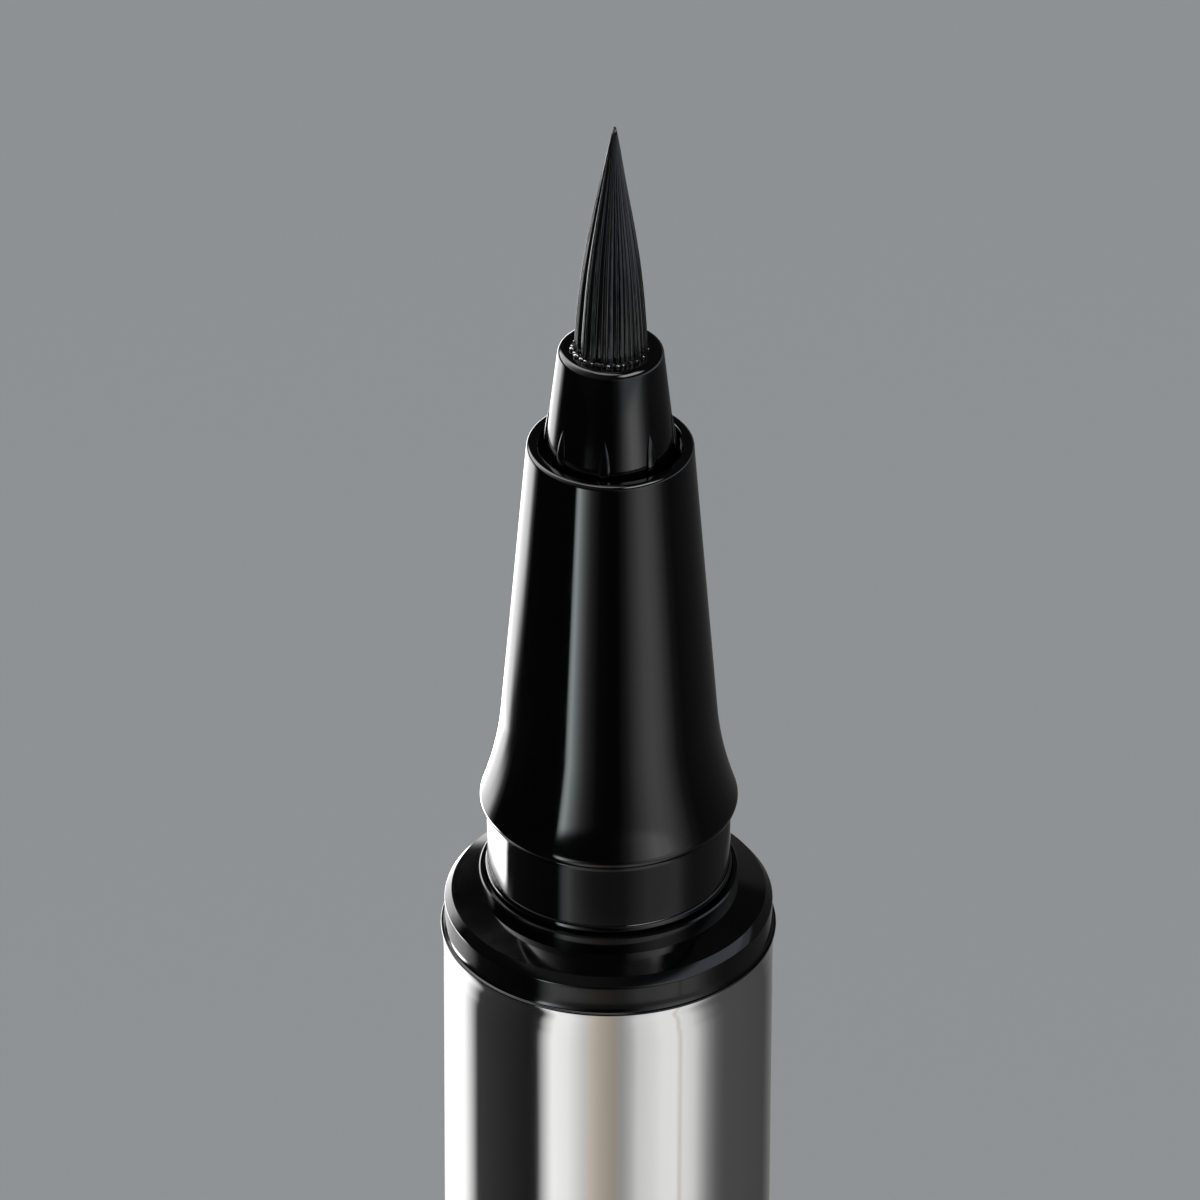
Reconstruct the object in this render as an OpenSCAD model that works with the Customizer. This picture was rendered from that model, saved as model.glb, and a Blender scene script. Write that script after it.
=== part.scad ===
// Liquid eyeliner pen, standing upright with its cap posted on the tail.
// The origin is at the centre of the cap's closed end. Lengths are in millimetres.

/* [Barrel] */
// Outer diameter of the metal barrel
barrel_d = 10.5; // [10:0.1:12]
// Length of the metal barrel
barrel_len = 94; // [70:1:120]
// Wall of the metal barrel
barrel_wall = 0.35; // [0.25:0.05:0.5]
// Height by which the rolled lip stands proud of the barrel
lip_rise = 0.1; // [0.05:0.01:0.15]
// Length over which the lip flares
lip_len = 1; // [0.6:0.1:3]

/* [Brush] */
// Diameter of the tuft at its root
brush_d = 2.26; // [1.8:0.02:2.4]
// Length of the tuft in front of the holder
brush_out = 7.9; // [5:0.1:10]
// Length of the tuft held inside the holder
brush_in = 2.3; // [1.5:0.1:4]
// Number of strands
strand_count = 300; // [300:10:380]
// Diameter of the fused root
root_d = 2.7; // [2.5:0.05:2.9]
// Thickness of the fused root
root_h = 0.6; // [0.4:0.05:1]

/* [Brush holder] */
// Diameter of the holder at its front edge
holder_front_d = 3.32; // [3.2:0.02:3.6]
// Diameter of the holder where it meets its seat
holder_back_d = 4.2; // [4.1:0.02:4.4]
// Length of the holder in front of the nose cone
holder_out = 3.5; // [2:0.1:5]
// Depth of the seat's shoulder below the nose cone's mouth
seat_depth = 0.66; // [0.4:0.02:1]
// Length of the seat inside the nose cone
seat_len = 8; // [5:0.5:9]
// Width of the gap round the seat's shoulder
seat_step = 0.1; // [0.08:0.01:0.2]
// Thickness of the stop flange
stop_h = 1.2; // [0.8:0.1:2]
// Diameter of the tail tube
holder_tail_d = 4; // [3.8:0.1:4.6]
// Length of the tail tube
holder_tail_len = 3; // [2:0.5:5]
// Number of ribs
rib_count = 8; // [6:1:10]
// Diameter of each rounded rib
rib_d = 0.28; // [0.2:0.02:0.34]
// Height by which a rib stands proud
rib_rise = 0.1; // [0.06:0.01:0.12]
// Height of the ribs above the nose cone's mouth
rib_h = 1.2; // [0.6:0.05:1.6]

/* [Nose cone] */
// Length from the bell's lower edge to the mouth
cone_len = 13.4; // [12.5:0.05:16]
// Outer diameter just under the rounded rim
cone_rim_d = 5.24; // [5.2:0.02:5.6]
// Height of the bell's flare
bell_h = 3.5; // [2.5:0.1:4.5]
// Radial rise of the flare from the end of the straight taper to the bell's edge
flare_rise = 0.67; // [0.5:0.01:0.8]
// Height by which the bell stands proud of the neck
bell_proud = 0.22; // [0.2:0.01:0.3]
// Radius of the bell's lower edge
bell_edge_r = 0.18; // [0.12:0.01:0.19]
// Height of the bell's shoulder, where the flare ends, above its lower edge
bell_shoulder_h = 0.6; // [0.5:0.05:1]
// Distance from the bell's edge in to its shoulder
bell_shoulder_inset = 0.14; // [0.1:0.01:0.2]
// Length of the neck
neck_len = 2.3; // [2:0.02:4]
// Height by which the neck's bead stands proud
bead_rise = 0.1; // [0.05:0.01:0.14]
// Height of the neck's bead
bead_h = 0.42; // [0.3:0.02:0.6]
// Length of the tail below the collar's rim
nose_tail_len = 16.7; // [14:0.1:20]
// Wall of the tail
nose_tail_wall = 1; // [0.8:0.05:1.1]

/* [Collar] */
// Height of the collar's rim above the barrel
collar_h = 2.24; // [2.2:0.02:3]
// Distance from the barrel's outside in to the flange's top edge
flange_inset = 0.24; // [0.15:0.01:0.4]
// Distance by which the flange's side wall draws in
flange_draft = 0.04; // [0.02:0.01:0.08]
// Height of the flange's side wall
flange_side_h = 0.92; // [0.8:0.02:1]
// Height of the chamfer above the side wall
flange_edge_h = 0.64; // [0.5:0.02:0.7]
// Wall of the thin rim round the neck
rim_wall = 0.2; // [0.16:0.01:0.3]
// Height of the thin rim
rim_h = 0.46; // [0.3:0.02:0.5]
// Length of the skirt inside the barrel
skirt_len = 8.9; // [6:0.1:11]
// Wall of the skirt
skirt_wall = 0.95; // [0.8:0.05:1.05]

/* [Ink] */
// Wall of the inner tube
tube_wall = 0.7; // [0.5:0.05:0.7]
// Free length between the fibre core and the tail plug
core_room = 4; // [0.5:0.5:30]
// Thickness of the film round the core
wrap_t = 0.08; // [0.05:0.01:0.1]
// Diameter of the feed rod
feed_d = 2.7; // [2.4:0.05:2.74]
// Length by which the feed rod enters the core
feed_in = 5; // [3:0.5:8]

/* [Tail] */
// Thickness of the flange under the barrel
tail_flange_h = 0.8; // [0.5:0.1:1.5]
// Length of the plug inside the tube
plug_len = 8; // [5:0.5:9]
// Wall of the plug
plug_wall = 1.1; // [0.8:0.1:1.4]
// Length of the spigot that carries the posted cap
spigot_len = 9; // [7:0.5:10]
// Width of the chamfer at the spigot's end
spigot_chamfer = 0.5; // [0.3:0.1:0.8]

/* [Cap] */
// Length of the cap
cap_len = 34; // [33.6:0.1:38]
// Wall of the metal shell
shell_wall = 0.35; // [0.25:0.05:0.5]
// Thickness of the shell's closed end
shell_end = 0.5; // [0.4:0.05:0.8]
// Radius of the edge round the closed end
shell_edge_r = 0.6; // [0.5:0.05:1]
// Slack between the snap ring and the bell's edge with the cap on
snap_slack = 0.58; // [0.3:0.02:1]
// Length of the snap ring
snap_len = 0.8; // [0.5:0.1:1.2]
// Length of the narrower guide bore in front of the cup's mouth
guide_lead = 0.8; // [0.5:0.1:1.5]
// Depth of the liner's ribbed middle below its ends
waist_depth = 0.37; // [0.25:0.01:0.4]
// Number of ribs on the liner's middle
liner_rib_count = 6; // [4:1:8]
// Width of each liner rib
liner_rib_w = 0.8; // [0.6:0.1:1.2]

/* [Inner cap] */
// Width by which the cup's edge laps over the nose cone's rim
seal_lap = 0.19; // [0.1:0.01:0.25]
// Wall of the sealing cup
cup_wall = 0.75; // [0.6:0.05:0.9]
// Thickness of the cup's closed end
cup_end = 0.7; // [0.5:0.1:1]
// Length by which the closed cap pushes the cup back
cup_press = 0.73; // [0.4:0.01:0.9]
// Width of the sealing chamfer
cup_chamfer = 0.5; // [0.3:0.05:0.6]
// Height of the cup's sliding flange
cup_flange_h = 0.8; // [0.5:0.1:1.2]
// Height by which the sliding flange stands proud
cup_flange_rise = 0.5; // [0.3:0.05:0.6]
// Length of the spring's room between the shell's end and the cup
spring_room = 4.2; // [3:0.1:4.6]
// Diameter of the spring's coil, at the wire's centre
spring_d = 5; // [4.4:0.1:5.4]
// Diameter of the spring's wire
wire_d = 0.3; // [0.2:0.02:0.34]
// Number of turns of the spring
spring_turns = 4; // [3:1:5]

/* [Fits] */
// Radial clearance between pressed pieces
press_gap = 0.03; // [0.02:0.005:0.04]
// Radial clearance between sliding pieces
slide_gap = 0.05; // [0.03:0.01:0.08]
// Gap between the neck's bead and the collar's rim
neck_gap = 0.06; // [0.04:0.01:0.1]
// Gap between the posted cap and the tail flange
cap_gap = 0.05; // [0.03:0.01:0.1]
// Clearance between the nose cone and the liner's bore
bell_gap = 0.12; // [0.1:0.01:0.2]
// Air gap round the ink core
air_gap = 0.1; // [0.06:0.01:0.14]

/* [Edges] */
// Radius of small moulded edges
edge_r = 0.1; // [0.06:0.01:0.12]
// Radius of the rims that show
rim_r = 0.15; // [0.1:0.01:0.18]

/* [Hidden] */
$fn = 96;

// Overrun of every cut
over = 0.1;
// Points on each quarter of a rounded edge
edge_steps = 4;
// Points on the bell's flare
flare_steps = 8;

// Levels, from the posted cap's closed end up to the brush holder's front edge
z_tail = cap_len + cap_gap;
z_barrel = z_tail + tail_flange_h;
z_collar = z_barrel + barrel_len;
z_rim = z_collar + collar_h;
z_neck = z_rim + neck_gap;
z_bell = z_neck + neck_len;
z_mouth = z_bell + cone_len;
z_holder = z_mouth + holder_out;

// Barrel
barrel_r = barrel_d / 2;
barrel_bore_r = barrel_r - barrel_wall;
inset_r = barrel_bore_r - press_gap;

// Brush and holder
brush_r = brush_d / 2;
root_r = root_d / 2;
feed_r = feed_d / 2;
holder_front_r = holder_front_d / 2;
holder_back_r = holder_back_d / 2;
seat_r = holder_back_r + seat_step;
holder_tail_r = holder_tail_d / 2;
feed_bore_r = max(root_r, feed_r) + slide_gap;
tuft_bore_r = brush_r + press_gap;
z_root = z_holder - brush_in;
z_seat = z_mouth - seat_depth;
z_stop = z_seat - seat_len;
holder_slope = atan2(holder_back_r - holder_front_r, z_holder - z_seat);
// Share of a rib's pitch by which the ribs are turned from the +X side
rib_turn_share = 0.88;

// Nose cone
cone_rim_r = cone_rim_d / 2;
mouth_r = seat_r + press_gap;
collar_bore_r = inset_r - skirt_wall;
nose_tail_r = collar_bore_r - press_gap;
neck_r = nose_tail_r - press_gap;
bell_r = neck_r + bell_proud;
cone_foot_r = bell_r - flare_rise;
tail_bore_r = nose_tail_r - nose_tail_wall;
stop_r = tail_bore_r - slide_gap;
z_nose_tail = z_neck - nose_tail_len;
z_flare = z_bell + bell_h;
z_bell_shoulder = z_bell + bell_shoulder_h;
bell_shoulder_r = bell_r - bell_shoulder_inset;

// Collar and ink tube
flange_top_r = barrel_r - flange_inset;
flange_side_r = barrel_r - flange_draft;
z_side = z_collar + flange_side_h;
z_flange = z_side + flange_edge_h;
rim_out_r = collar_bore_r + rim_wall;
z_skirt = z_collar - skirt_len;
tube_bore_r = inset_r - tube_wall;

// Ink core, wrapped in its film
wrap_r = tube_bore_r - air_gap;
wrap_bore_r = wrap_r - wrap_t;
core_r = wrap_bore_r - press_gap;
z_plug_top = z_barrel + plug_len;
z_core_top = z_nose_tail - slide_gap;
z_core_end = z_plug_top + core_room;
core_len = z_core_top - z_core_end;
z_feed_end = z_core_top - feed_in;

// Tail plug
plug_r = tube_bore_r - press_gap;
spigot_r = nose_tail_r + press_gap / 2;
plug_bore_r = spigot_r - plug_wall;
// The plug's shoulder fills the barrel as high as its flange is thick
z_shoulder = z_barrel + tail_flange_h;

// Cap liner: the snap ring clears the spigot, and the bore clears bell and rim
snap_r = spigot_r + slide_gap;
liner_bore_r = max(bell_r, rim_out_r) + bell_gap;
liner_r = barrel_r - shell_wall - press_gap;
liner_waist_r = liner_r - waist_depth;
cup_bore_r = cone_rim_r - seal_lap;
cup_r = cup_bore_r + cup_wall;
cup_flange_r = cup_r + cup_flange_rise;
guide_r = cup_r + slide_gap;
well_r = cup_flange_r + slide_gap;
snap_half = snap_len / 2;
// Depths in the cap, from its mouth, which rests on the flange when the cap is on
snap_depth = z_bell - z_flange - snap_slack - snap_half;
cup_mouth_depth = z_mouth - z_flange - cup_chamfer - cup_press;
z_snap = cap_len - snap_depth;
z_cup_mouth = cap_len - cup_mouth_depth;
z_guide = z_cup_mouth + guide_lead;
z_cup_end = shell_end + spring_room;
z_cup_floor = z_cup_end + cup_end;
z_ledge = z_cup_end + cup_flange_h;
liner_end_band = cup_flange_h;

// Spring between the shell's end and the cup
spring_r = spring_d / 2;
wire_r = wire_d / 2;
spring_bottom = shell_end + wire_r + slide_gap;
spring_top = z_cup_end - wire_r - slide_gap;

// Points of an arc about a centre
function arc(centre, radius, from, to, steps) =
    [for (i = [0:steps]) let (a = from + (to - from) * i / steps) centre + radius * [cos(a), sin(a)]];

// Radius of the cone's straight taper at a height
function taper_r(z) = cone_rim_r + (cone_foot_r - cone_rim_r) * (z_mouth - z) / (z_mouth - z_flare);

// Radius of the bell, which flares from the taper to its shoulder as a parabola
function flare_r(z) =
    let (drop = (z_flare - z) / (z_flare - z_bell_shoulder))
    taper_r(z) + (bell_shoulder_r - taper_r(z_bell_shoulder)) * drop * drop;

// Tuft, whose strands stand on a sunflower spiral, drawn in alike towards the tip
tuft_len = brush_out + brush_in;
tuft_height_shares = [0, 0.265, 0.5, 0.69];
tuft_width_shares = [1, 1, 0.82, 0.56];
tip_width_share = 0.1;
strand_fill_share = 0.8;
strand_share = strand_fill_share / sqrt(strand_count);
outer_end_share = 0.86;
golden_angle = 137.508;
root_share = brush_r / root_r;
strand_sides = 3;

// Height share at which a strand ends, from its place across the tuft
function end_share(place) = 1 - (1 - outer_end_share) * place * place;

// Width share of the tuft above the last level, where it narrows evenly
function tip_width(height) =
    let (last = len(tuft_height_shares) - 1)
    let (t = (height - tuft_height_shares[last]) / (1 - tuft_height_shares[last]))
    tuft_width_shares[last] + (tip_width_share - tuft_width_shares[last]) * t;

// One strand of the unit tuft: a ring of corners on each level, then its point
module strand(place, turn) {
    levels = len(tuft_height_shares);
    end = end_share(place);
    across = place * (1 - strand_share);
    rings = [for (k = [0:levels - 1]) for (j = [0:strand_sides - 1])
        let (a = turn + 360 * j / strand_sides)
        let (w = tuft_width_shares[k])
        [w * (across * cos(turn) + strand_share * cos(a)),
         w * (across * sin(turn) + strand_share * sin(a)),
         tuft_height_shares[k]]];
    tip = [[tip_width(end) * across * cos(turn), tip_width(end) * across * sin(turn), end]];
    sides = [for (k = [0:levels - 2]) for (j = [0:strand_sides - 1])
        let (n = (j + 1) % strand_sides)
        let (a = k * strand_sides + j)
        let (b = k * strand_sides + n)
        each [[a, a + strand_sides, b + strand_sides], [a, b + strand_sides, b]]];
    point = [for (j = [0:strand_sides - 1])
        let (n = (j + 1) % strand_sides)
        [(levels - 1) * strand_sides + j, levels * strand_sides, (levels - 1) * strand_sides + n]];
    base = [[for (j = [0:strand_sides - 1]) j]];
    polyhedron(points = concat(rings, tip), faces = concat(sides, point, base));
}

// Whole tuft, one unit wide and high, then stretched to its real size
module brush_tip() {
    whole_len = tuft_len + root_h;
    root_height_share = root_h / whole_len;
    color("#16171a")
    translate([0, 0, z_root - root_h])
    resize([root_d, root_d, whole_len]) {
        cylinder(r = 1, h = root_height_share, $fn = 24);
        translate([0, 0, root_height_share / 2])
        scale([root_share, root_share, 1 - root_height_share / 2])
        for (i = [0:strand_count - 1])
            strand(sqrt((i + 0.5) / strand_count), i * golden_angle);
    }
}

// Ferrule with its seat, stop flange and tail tube, and ribs round its foot
module brush_holder() {
    z_tail_end = z_stop - stop_h - holder_tail_len;
    rib_tip_len = rib_d * 2;
    rib_axis_back = rib_d / 2 - rib_rise;
    rib_run = (rib_h + seat_depth) / cos(holder_slope);
    color("#141518") {
        difference() {
            rotate_extrude()
            polygon(concat(
                [[0, z_tail_end], [holder_tail_r, z_tail_end], [holder_tail_r, z_stop - stop_h],
                 [stop_r, z_stop - stop_h], [stop_r, z_stop], [seat_r, z_stop], [seat_r, z_seat],
                 [holder_back_r, z_seat]],
                arc([holder_front_r - rim_r, z_holder - rim_r], rim_r, 0, 90, edge_steps),
                [[0, z_holder]]));
            translate([0, 0, z_root])
            cylinder(r = tuft_bore_r, h = brush_in + over);
            translate([0, 0, z_tail_end - over])
            cylinder(r = feed_bore_r, h = z_root - z_tail_end + over);
        }
        for (i = [0:rib_count - 1])
            rotate([0, 0, 360 * (i + rib_turn_share) / rib_count])
            translate([holder_back_r - rib_axis_back, 0, z_seat])
            rotate([0, -holder_slope, 0]) {
                cylinder(d = rib_d, h = rib_run - rib_tip_len, $fn = 24);
                translate([0, 0, rib_run - rib_tip_len])
                cylinder(d1 = rib_d, d2 = 0, h = rib_tip_len, $fn = 24);
            }
    }
}

// Cone, bell and neck, with the tail that plugs into collar and tube
module nose_cone() {
    outline = concat(
        [[tail_bore_r, z_nose_tail], [nose_tail_r - edge_r, z_nose_tail],
         [nose_tail_r, z_nose_tail + edge_r], [nose_tail_r, z_neck]],
        arc([neck_r + bead_rise - edge_r, z_neck + edge_r], edge_r, -90, 0, edge_steps),
        [[neck_r + bead_rise, z_neck + bead_h / 2], [neck_r, z_neck + bead_h], [neck_r, z_bell]],
        arc([bell_r - bell_edge_r, z_bell + bell_edge_r], bell_edge_r, -90, 0, edge_steps),
        [for (i = [0:flare_steps])
            let (z = z_bell_shoulder + (z_flare - z_bell_shoulder) * i / flare_steps)
            [flare_r(z), z]],
        arc([cone_rim_r - rim_r, z_mouth - rim_r], rim_r, 0, 90, edge_steps),
        arc([mouth_r + edge_r, z_mouth - edge_r], edge_r, 90, 180, edge_steps),
        [[mouth_r, z_stop], [tail_bore_r, z_stop]]);
    color("#121316")
    rotate_extrude()
    polygon(outline);
}

// Thin rim, sloping flange with a chamfered edge, and the skirt inside the barrel
module front_collar() {
    color("#121316")
    rotate_extrude()
    polygon(concat(
        [[collar_bore_r, z_skirt], [inset_r - edge_r, z_skirt], [inset_r, z_skirt + edge_r],
         [inset_r, z_collar], [barrel_r - edge_r / 2, z_collar], [barrel_r, z_collar + edge_r],
         [flange_side_r, z_side]],
        arc([flange_top_r - edge_r, z_flange - edge_r], edge_r, 0, 90, edge_steps),
        [[rim_out_r - rim_r / 2, z_rim - rim_h], [rim_out_r, z_rim - rim_h / 2]],
        arc([rim_out_r - rim_wall / 2, z_rim - rim_wall / 2], rim_wall / 2, 0, 90, edge_steps),
        [[collar_bore_r, z_rim - rim_wall / 2]]));
}

// Drawn metal tube with a lip rolled outwards at its front end
module barrel_sleeve() {
    lip_edge = barrel_wall / 2;
    color("#c9cacc")
    rotate_extrude()
    polygon(concat(
        [[barrel_bore_r, z_barrel], [barrel_r - edge_r, z_barrel], [barrel_r, z_barrel + edge_r],
         [barrel_r, z_collar - lip_len]],
        arc([barrel_r + lip_rise - lip_edge, z_collar - lip_edge], lip_edge, 0, 90, edge_steps),
        [[barrel_bore_r, z_collar]]));
}

// Fibre wick from the ink core to the root of the tuft
module feed_rod() {
    z_feed_top = z_root - root_h;
    color("#e8e4da")
    translate([0, 0, z_feed_end]) {
        cylinder(r1 = feed_r / 2, r2 = feed_r, h = feed_r);
        translate([0, 0, feed_r])
        cylinder(r = feed_r, h = z_feed_top - z_feed_end - feed_r);
    }
}

// Inner tube, stepped inside at the end of the nose tail that plugs in
module ink_tube() {
    color("#e6e7e4")
    rotate_extrude()
    polygon([[tube_bore_r, z_shoulder], [inset_r, z_shoulder],
             [inset_r, z_skirt], [collar_bore_r, z_skirt], [collar_bore_r, z_nose_tail],
             [tube_bore_r, z_nose_tail]]);
}

// Fibre reservoir with the socket for the feed rod
module ink_core() {
    color("#3a3b40")
    difference() {
        translate([0, 0, z_core_end])
        cylinder(r = core_r, h = core_len);
        translate([0, 0, z_feed_end - slide_gap])
        cylinder(r = feed_r + slide_gap, h = feed_in + slide_gap + over);
    }
}

// Film round the reservoir
module core_wrap() {
    color("#dfe3e6")
    difference() {
        translate([0, 0, z_core_end])
        cylinder(r = wrap_r, h = core_len);
        translate([0, 0, z_core_end - over])
        cylinder(r = wrap_bore_r, h = core_len + over * 2);
    }
}

// Plug with its shoulder in the barrel, the flange, and the spigot for the cap
module tail_plug() {
    z_floor = z_tail - spigot_len;
    color("#141518")
    rotate_extrude()
    polygon([[0, z_floor], [spigot_r - spigot_chamfer, z_floor], [spigot_r, z_floor + spigot_chamfer],
             [spigot_r, z_tail], [barrel_r - edge_r, z_tail], [barrel_r, z_tail + edge_r],
             [barrel_r, z_barrel - edge_r], [barrel_r - edge_r, z_barrel], [inset_r, z_barrel],
             [inset_r, z_shoulder], [plug_r, z_shoulder],
             [plug_r, z_plug_top - edge_r], [plug_r - edge_r, z_plug_top], [plug_bore_r, z_plug_top],
             [plug_bore_r, z_floor + plug_wall], [0, z_floor + plug_wall]]);
}

// Drawn metal cap with a rounded closed end
module cap_shell() {
    inner_edge_r = shell_edge_r - shell_wall / 2;
    shell_in_r = barrel_r - shell_wall;
    color("#c9cacc")
    rotate_extrude()
    polygon(concat(
        [[0, 0]],
        arc([barrel_r - shell_edge_r, shell_edge_r], shell_edge_r, -90, 0, edge_steps),
        [[barrel_r, cap_len - edge_r], [barrel_r - edge_r, cap_len], [shell_in_r, cap_len]],
        arc([shell_in_r - inner_edge_r, shell_end + inner_edge_r], inner_edge_r, 0, -90, edge_steps),
        [[0, shell_end]]));
}

// Plastic liner: snap ring, clear bore, guide for the cup and well for its flange
module cap_liner() {
    z_liner = shell_edge_r + shell_end;
    z_waist_top = z_guide - liner_end_band;
    z_waist_end = z_ledge + liner_end_band;
    mouth_chamfer = (liner_r - liner_bore_r) / 2;
    rib_out = liner_r - edge_r / 2 - liner_waist_r;
    rib_span = z_waist_top - z_waist_end;
    color("#1b1c20") {
        rotate_extrude()
        polygon([[well_r, z_liner], [liner_r, z_liner],
                 [liner_r, z_waist_end], [liner_waist_r, z_waist_end],
                 [liner_waist_r, z_waist_top], [liner_r, z_waist_top],
                 [liner_r, cap_len - edge_r], [liner_r - edge_r, cap_len],
                 [liner_bore_r + mouth_chamfer, cap_len],
                 [liner_bore_r, cap_len - mouth_chamfer], [liner_bore_r, z_snap + snap_len],
                 [snap_r, z_snap + snap_half], [snap_r, z_snap], [liner_bore_r, z_snap - snap_half],
                 [liner_bore_r, z_guide], [guide_r, z_guide], [guide_r, z_ledge], [well_r, z_ledge]]);
        for (i = [0:liner_rib_count - 1])
            rotate([0, 0, 360 * i / liner_rib_count])
            translate([liner_waist_r - over, -liner_rib_w / 2, z_waist_end - over])
            cube([rib_out + over, liner_rib_w, rib_span + over * 2]);
    }
}

// Sealing cup with a chamfered mouth and a flange that slides in the liner's well
module inner_cap() {
    color("#d9dbd8")
    rotate_extrude()
    polygon([[0, z_cup_end], [cup_flange_r, z_cup_end], [cup_flange_r, z_ledge - slide_gap],
             [cup_r, z_ledge - slide_gap], [cup_r, z_cup_mouth], [cup_bore_r + cup_chamfer, z_cup_mouth],
             [cup_bore_r, z_cup_mouth - cup_chamfer], [cup_bore_r, z_cup_floor], [0, z_cup_floor]]);
}

// Coil spring as one unbroken tube along a helix
module inner_cap_spring() {
    ring_sides = 6;
    rings_per_turn = 16;
    rings = spring_turns * rings_per_turn;
    rise = (spring_top - spring_bottom) / rings;
    points = [for (k = [0:rings]) for (j = [0:ring_sides - 1])
        let (a = 360 * k / rings_per_turn)
        let (b = 360 * j / ring_sides)
        let (r = spring_r + wire_r * cos(b))
        [r * cos(a), r * sin(a), spring_bottom + rise * k + wire_r * sin(b)]];
    sides = [for (k = [0:rings - 1]) for (j = [0:ring_sides - 1])
        let (n = (j + 1) % ring_sides)
        let (a = k * ring_sides + j)
        let (b = k * ring_sides + n)
        each [[a, b, b + ring_sides], [a, b + ring_sides, a + ring_sides]]];
    ends = [[for (j = [ring_sides - 1:-1:0]) j], [for (j = [0:ring_sides - 1]) rings * ring_sides + j]];
    color("#b9bbbf")
    polyhedron(points = points, faces = concat(sides, ends));
}

brush_tip();
brush_holder();
nose_cone();
front_collar();
barrel_sleeve();
feed_rod();
ink_tube();
ink_core();
core_wrap();
tail_plug();
cap_shell();
cap_liner();
inner_cap();
inner_cap_spring();
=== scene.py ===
"""Looks of the liquid eyeliner pen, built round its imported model."""

import math
import random

import bmesh
import bpy
from mathutils import Euler, Matrix, Vector


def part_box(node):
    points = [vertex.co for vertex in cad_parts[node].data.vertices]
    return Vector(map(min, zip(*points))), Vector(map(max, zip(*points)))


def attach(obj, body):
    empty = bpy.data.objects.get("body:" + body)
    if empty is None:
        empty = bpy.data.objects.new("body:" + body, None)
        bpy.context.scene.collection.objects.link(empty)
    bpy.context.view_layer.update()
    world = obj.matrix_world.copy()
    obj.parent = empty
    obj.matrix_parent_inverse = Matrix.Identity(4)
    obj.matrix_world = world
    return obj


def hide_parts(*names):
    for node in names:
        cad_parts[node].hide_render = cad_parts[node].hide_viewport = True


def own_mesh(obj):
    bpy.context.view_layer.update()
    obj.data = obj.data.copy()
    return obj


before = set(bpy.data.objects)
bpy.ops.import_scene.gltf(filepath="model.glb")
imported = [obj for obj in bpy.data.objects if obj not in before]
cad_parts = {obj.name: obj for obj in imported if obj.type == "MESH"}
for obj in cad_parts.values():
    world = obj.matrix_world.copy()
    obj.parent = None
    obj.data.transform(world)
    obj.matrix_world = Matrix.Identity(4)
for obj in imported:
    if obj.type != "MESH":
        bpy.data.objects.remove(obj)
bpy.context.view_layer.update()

MM = 0.001          # outlines are written in millimetres
SEGMENTS = 192      # sides of a turned piece
SHARP_TURN = 28     # degrees between two stretches of an outline that read as an edge
AXIS_EPS = 1e-6     # below this a radius counts as none, and two levels as one


def span(node):
    """Outer radius, bottom and top of a CAD node, in millimetres."""
    low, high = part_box(node)
    return high.x / MM, low.z / MM, high.z / MM


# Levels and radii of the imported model, in millimetres
LIP_R, Z_BARREL, Z_COLLAR = span("barrel_sleeve")
BARREL_R, Z_SKIRT, Z_RIM = span("front_collar")
BELL_R, Z_NOSE_TAIL, Z_MOUTH = span("nose_cone")
STOP_R, Z_HOLDER_TAIL, Z_HOLDER = span("brush_holder")
_, Z_ROOT, Z_TIP = span("brush_tip")
CAP_R, _, Z_CAP = span("cap_shell")
_, Z_PLUG_END, Z_PLUG_TOP = span("tail_plug")
SPRING_R, Z_SPRING, Z_SPRING_TOP = span("inner_cap_spring")

# Radii and heights that the outlines share with the CAD source, in millimetres
PRESS_GAP = 0.03        # radial clearance between pressed pieces
WALL = 0.35             # of the barrel and the cap's shell
BORE_R = BARREL_R - WALL
INSET_R = BORE_R - PRESS_GAP
BELL_PROUD = 0.22
NECK_R = BELL_R - BELL_PROUD
NOSE_TAIL_R = NECK_R + PRESS_GAP
TAIL_BORE_R = 2.89
COLLAR_BORE_R = NOSE_TAIL_R + PRESS_GAP
RIM_WALL = 0.2
RIM_R = COLLAR_BORE_R + RIM_WALL
SEAT_R = 2.2
MOUTH_R = SEAT_R + PRESS_GAP
CONE_RIM_R = 2.62
CONE_FOOT_R = 3.41
NECK_GAP = 0.06         # between the neck's bead and the collar's rim
NECK_LEN = 2.3
BELL_H = 3.5
BELL_EDGE_R = 0.29
Z_BELL = Z_RIM + NECK_GAP + NECK_LEN
Z_FLARE = Z_BELL + BELL_H
SEAT_DEPTH = 0.66
SEAT_LEN = 8
Z_SEAT = Z_MOUTH - SEAT_DEPTH
Z_STOP = Z_SEAT - SEAT_LEN
HOLDER_FRONT_R = 1.66
HOLDER_BACK_R = 2.1
FEED_BORE_R = 1.4
TUFT_R = 1.13
TUFT_BORE_R = TUFT_R + PRESS_GAP
TUFT_IN = 2.3           # length of the tuft inside the holder
Z_TUFT_FOOT = Z_HOLDER - TUFT_IN

random.seed(7)


# ---------------------------------------------------------------- mesh helpers

def arc(centre, radius, start, end, steps=8):
    """Points of an arc from start to end degrees."""
    turns = [math.radians(start + (end - start) * i / steps) for i in range(steps + 1)]
    return [(centre[0] + radius * math.cos(t), centre[1] + radius * math.sin(t)) for t in turns]


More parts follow.
